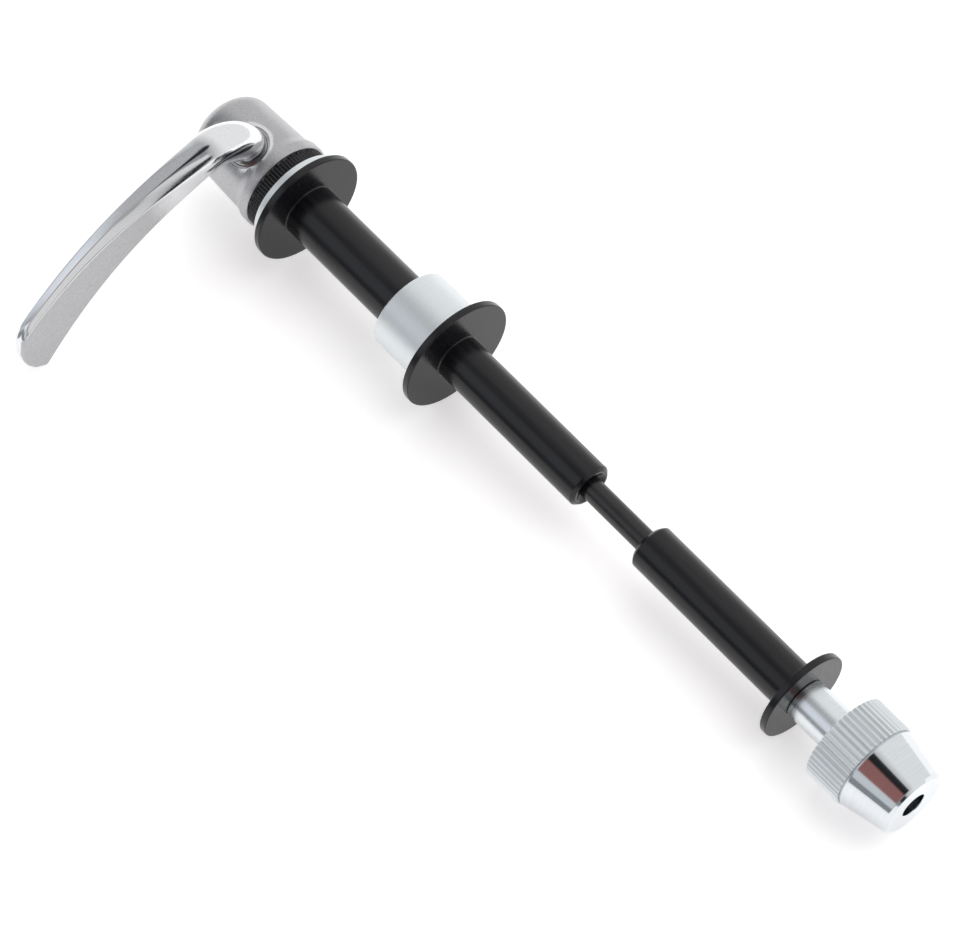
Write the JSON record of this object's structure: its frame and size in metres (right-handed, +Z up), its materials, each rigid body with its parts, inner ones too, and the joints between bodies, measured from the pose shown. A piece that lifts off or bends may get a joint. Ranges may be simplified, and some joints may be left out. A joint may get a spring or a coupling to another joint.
{
  "type": "thru-axle adapter",
  "caption": "Quick-release skewer with an enclosed-cam lever and a knurled nut, carrying black flanged sleeves that hold a thru-axle hub and frame.",
  "frame": {"origin": "on the axle's axis, at the face of the left hub sleeve's flange that a hub rests against", "axes": "+X along the axle from the lever to the nut, +Z up with the axle lying level, +Y completes a right-handed frame; the lever points to -Y"},
  "size_m": [0.2091, 0.077, 0.0347],
  "materials": {
    "chrome": "polished",
    "zinc": "satin",
    "black_sleeve": "black, semi-gloss",
    "black_steel": "black, semi-gloss",
    "bush": "polished"
  },
  "bodies": {
    "head": {"cam_head": "chrome", "pivot_bush": "bush", "serrated_ring": "black_steel"},
    "lever": {"cam_lever": "chrome", "pivot_clip": "zinc"},
    "rod": {"draw_rod": "black_steel"},
    "frame_side": {"frame_sleeve": "black_sleeve", "thrust_washer": "zinc"},
    "spacer": {"spacer_ring": "zinc"},
    "left_side": {"left_hub_sleeve": "black_sleeve"},
    "right_side": {"right_hub_sleeve": "black_sleeve"},
    "nut": {"knurled_nut": "zinc"}
  },
  "joints": [
    {"name": "lever_swing", "type": "hinge", "parent": "head", "child": "lever", "pos_m": [-0.0625, 0, 0], "axis": [0, 0.342, -0.9397], "range_deg": [0, 180]},
    {"name": "rod_draw", "type": "slide", "parent": "head", "child": "rod", "axis": [1, 0, 0], "range_m": [0, 0.002]},
    {"name": "nut_turn", "type": "hinge", "parent": "rod", "child": "nut", "pos_m": [0.1016, 0, 0], "axis": [1, 0, 0], "continuous": true},
    {"name": "right_sleeve_slide", "type": "slide", "parent": "rod", "child": "right_side", "axis": [1, 0, 0], "range_m": [-0.0165, 0]},
    {"name": "left_sleeve_turn", "type": "hinge", "parent": "rod", "child": "left_side", "pos_m": [0, 0, 0], "axis": [1, 0, 0], "continuous": true},
    {"name": "frame_sleeve_turn", "type": "hinge", "parent": "rod", "child": "frame_side", "pos_m": [-0.047, 0, 0], "axis": [1, 0, 0], "continuous": true},
    {"name": "spacer_slide", "type": "slide", "parent": "frame_side", "child": "spacer", "axis": [1, 0, 0], "range_m": [-0.0312, 0]}
  ],
  "couplings": [
    {"joint": "lever_swing", "follows": "rod_draw", "rad_per_m": 1570.8}
  ]
}
